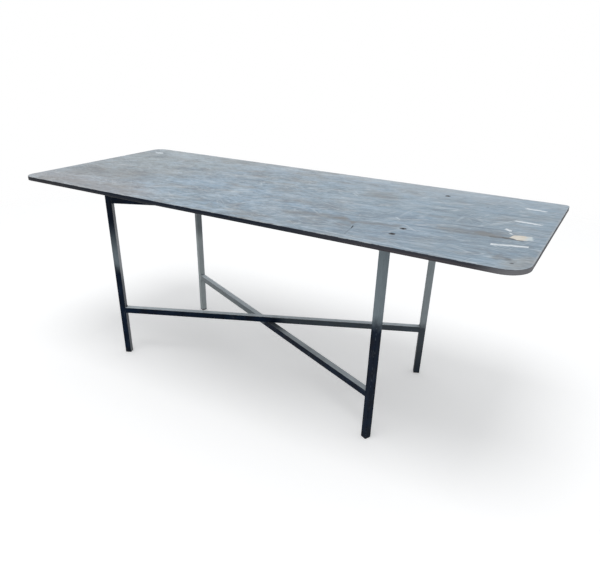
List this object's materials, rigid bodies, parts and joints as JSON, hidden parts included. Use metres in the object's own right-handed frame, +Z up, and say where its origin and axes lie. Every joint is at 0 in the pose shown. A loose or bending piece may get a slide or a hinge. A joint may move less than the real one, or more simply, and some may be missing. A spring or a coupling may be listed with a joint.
{
  "type": "table",
  "caption": "Long table with a thin worn board on rounded corners, carried by a welded base of square tube whose two portal frames cross on the diagonals.",
  "frame": {"origin": "on the floor, under the middle of the board", "axes": "+X along the board's length, +Y to the back, +Z up"},
  "size_m": [1.9, 0.78, 0.75],
  "materials": {
    "board_core": "wooden core with a dark sealed edge",
    "board_film": "worn grey-blue hard film, matt",
    "frame_steel": "blue-black satin paint",
    "foot_plastic": "black moulded plastic",
    "fastener_steel": "blackened steel",
    "weld_metal": "painted weld bead"
  },
  "bodies": {
    "root": {"tabletop_core": "board_core", "tabletop_film_top": "board_film", "tabletop_film_bottom": "board_film", "leg_front_left": "frame_steel", "leg_front_right": "frame_steel", "leg_back_left": "frame_steel", "leg_back_right": "frame_steel", "lower_rail_a": "frame_steel", "lower_rail_b": "frame_steel", "top_rail_a": "frame_steel", "top_rail_b": "frame_steel", "foot_plug_front_left": "foot_plastic", "foot_plug_front_right": "foot_plastic", "foot_plug_back_left": "foot_plastic", "foot_plug_back_right": "foot_plastic", "fixing_plate_front_left": "frame_steel", "fixing_plate_front_right": "frame_steel", "fixing_plate_back_left": "frame_steel", "fixing_plate_back_right": "frame_steel", "fixing_bolts": "fastener_steel", "fixing_washers": "fastener_steel", "fixing_nuts": "fastener_steel", "lower_rail_welds": "weld_metal", "top_rail_welds": "weld_metal", "plate_welds": "weld_metal", "crossing_welds": "weld_metal"}
  },
  "joints": []
}
